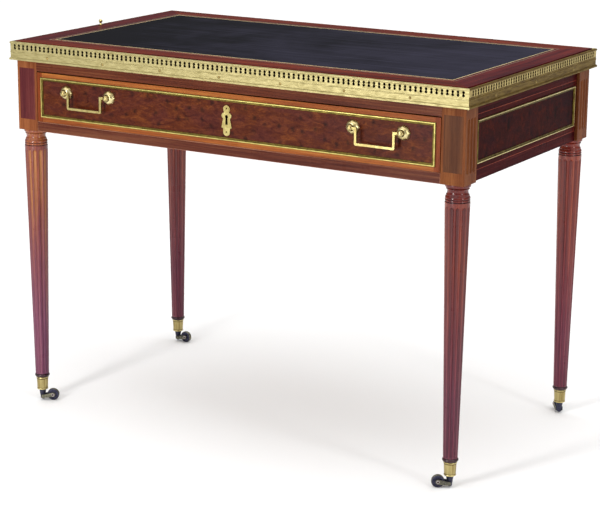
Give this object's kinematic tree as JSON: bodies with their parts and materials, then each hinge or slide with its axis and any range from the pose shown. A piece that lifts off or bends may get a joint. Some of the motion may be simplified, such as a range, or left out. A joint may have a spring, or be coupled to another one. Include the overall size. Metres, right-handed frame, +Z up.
{
  "type": "writing table",
  "caption": "Mahogany writing table with a pierced brass gallery, leather top, frieze drawer with drop handles, fluted legs and casters.",
  "frame": {"origin": "middle of the table in plan, on the floor under the casters", "axes": "+Z up, the drawer faces -Y, +X to the right when facing the drawer"},
  "size_m": [1.0144, 0.5723, 0.7628],
  "materials": {
    "leg_wood": "french polished mahogany, fluted",
    "brass": "old gilt brass, polished on the high points",
    "iron": "dark, worn",
    "rail_wood": "french polished mahogany",
    "apron_veneer": "dark figured mahogany veneer with a lighter cross-banding",
    "drawer_veneer": "figured mahogany veneer with a lighter cross-banding",
    "inner_oak": "bare oak",
    "carcase_wood": "bare wood",
    "gallery_brass": "old gilt brass",
    "top_veneer": "french polished mahogany",
    "leather": "dark blue-black, worn soft",
    "steel": "dull"
  },
  "bodies": {
    "table": {"leg_front_left": "leg_wood", "leg_front_right": "leg_wood", "leg_back_left": "leg_wood", "leg_back_right": "leg_wood", "sabot_front_left": "brass", "sabot_front_right": "brass", "sabot_back_left": "brass", "sabot_back_right": "brass", "front_top_rail": "rail_wood", "front_bottom_rail": "rail_wood", "side_apron_left": "apron_veneer", "side_apron_right": "apron_veneer", "back_apron": "apron_veneer", "drawer_runner_left": "inner_oak", "drawer_runner_right": "inner_oak", "drawer_kicker_left": "inner_oak", "drawer_kicker_right": "inner_oak", "drawer_stops": "inner_oak", "corner_blocks": "inner_oak", "sub_top": "carcase_wood", "top_screws": "steel", "gallery_front": "gallery_brass", "gallery_back": "gallery_brass", "gallery_left": "gallery_brass", "gallery_right": "gallery_brass", "gallery_screws": "gallery_brass", "side_moulding_left": "brass", "side_moulding_right": "brass", "back_moulding": "brass"},
    "drawer": {"drawer_front": "drawer_veneer", "drawer_side_left": "inner_oak", "drawer_side_right": "inner_oak", "drawer_back": "inner_oak", "drawer_bottom": "inner_oak", "drawer_moulding": "brass", "handle_rosettes": "brass", "handle_nuts": "brass", "escutcheon": "brass", "escutcheon_pins": "brass", "lock_case": "brass", "lock_screws": "steel"},
    "bail_left": {"bail_left": "brass"},
    "bail_right": {"bail_right": "brass"},
    "lock_bolt": {"lock_bolt": "steel"},
    "top_panel": {"top_panel": "top_veneer", "leather": "leather", "top_stringing": "brass", "lifting_knob": "brass"},
    "caster_front_left": {"caster_fork_front_left": "iron", "caster_axle_front_left": "iron"},
    "wheel_front_left": {"caster_wheel_front_left": "iron"},
    "caster_front_right": {"caster_fork_front_right": "iron", "caster_axle_front_right": "iron"},
    "wheel_front_right": {"caster_wheel_front_right": "iron"},
    "caster_back_left": {"caster_fork_back_left": "iron", "caster_axle_back_left": "iron"},
    "wheel_back_left": {"caster_wheel_back_left": "iron"},
    "caster_back_right": {"caster_fork_back_right": "iron", "caster_axle_back_right": "iron"},
    "wheel_back_right": {"caster_wheel_back_right": "iron"}
  },
  "joints": [
    {"name": "drawer_slide", "type": "slide", "parent": "table", "child": "drawer", "axis": [0, -1, 0], "range_m": [0, 0.34]},
    {"name": "top_panel_lift", "type": "slide", "parent": "table", "child": "top_panel", "axis": [0, 0, 1], "range_m": [0, 0.12]},
    {"name": "bail_left_swing", "type": "hinge", "parent": "drawer", "child": "bail_left", "pos_m": [-0.3225, -0.2846, 0.6576], "axis": [-1, 0, 0], "range_deg": [-18, 150]},
    {"name": "bail_right_swing", "type": "hinge", "parent": "drawer", "child": "bail_right", "pos_m": [0.3225, -0.2846, 0.6576], "axis": [-1, 0, 0], "range_deg": [-18, 150]},
    {"name": "lock_bolt_throw", "type": "slide", "parent": "drawer", "child": "lock_bolt", "axis": [0, 0, 1], "range_m": [0, 0.008]},
    {"name": "caster_front_left_swivel", "type": "hinge", "parent": "table", "child": "caster_front_left", "pos_m": [-0.4724, -0.2484, 0.024], "axis": [0, 0, 1], "continuous": true},
    {"name": "wheel_front_left_spin", "type": "hinge", "parent": "caster_front_left", "child": "wheel_front_left", "pos_m": [-0.45298, -0.23807, 0.0123], "axis": [-0.4695, 0.8829, 0], "continuous": true},
    {"name": "caster_front_right_swivel", "type": "hinge", "parent": "table", "child": "caster_front_right", "pos_m": [0.4724, -0.2484, 0.024], "axis": [0, 0, 1], "continuous": true},
    {"name": "wheel_front_right_spin", "type": "hinge", "parent": "caster_front_right", "child": "wheel_front_right", "pos_m": [0.45374, -0.26006, 0.0123], "axis": [0.5299, -0.848, 0], "continuous": true},
    {"name": "caster_back_left_swivel", "type": "hinge", "parent": "table", "child": "caster_back_left", "pos_m": [-0.4724, 0.2484, 0.024], "axis": [0, 0, 1], "continuous": true},
    {"name": "wheel_back_left_spin", "type": "hinge", "parent": "caster_back_left", "child": "wheel_back_left", "pos_m": [-0.4504, 0.2484, 0.0123], "axis": [0, 1, 0], "continuous": true},
    {"name": "caster_back_right_swivel", "type": "hinge", "parent": "table", "child": "caster_back_right", "pos_m": [0.4724, 0.2484, 0.024], "axis": [0, 0, 1], "continuous": true},
    {"name": "wheel_back_right_spin", "type": "hinge", "parent": "caster_back_right", "child": "wheel_back_right", "pos_m": [0.45947, 0.2662, 0.0123], "axis": [-0.809, -0.5878, 0], "continuous": true}
  ]
}
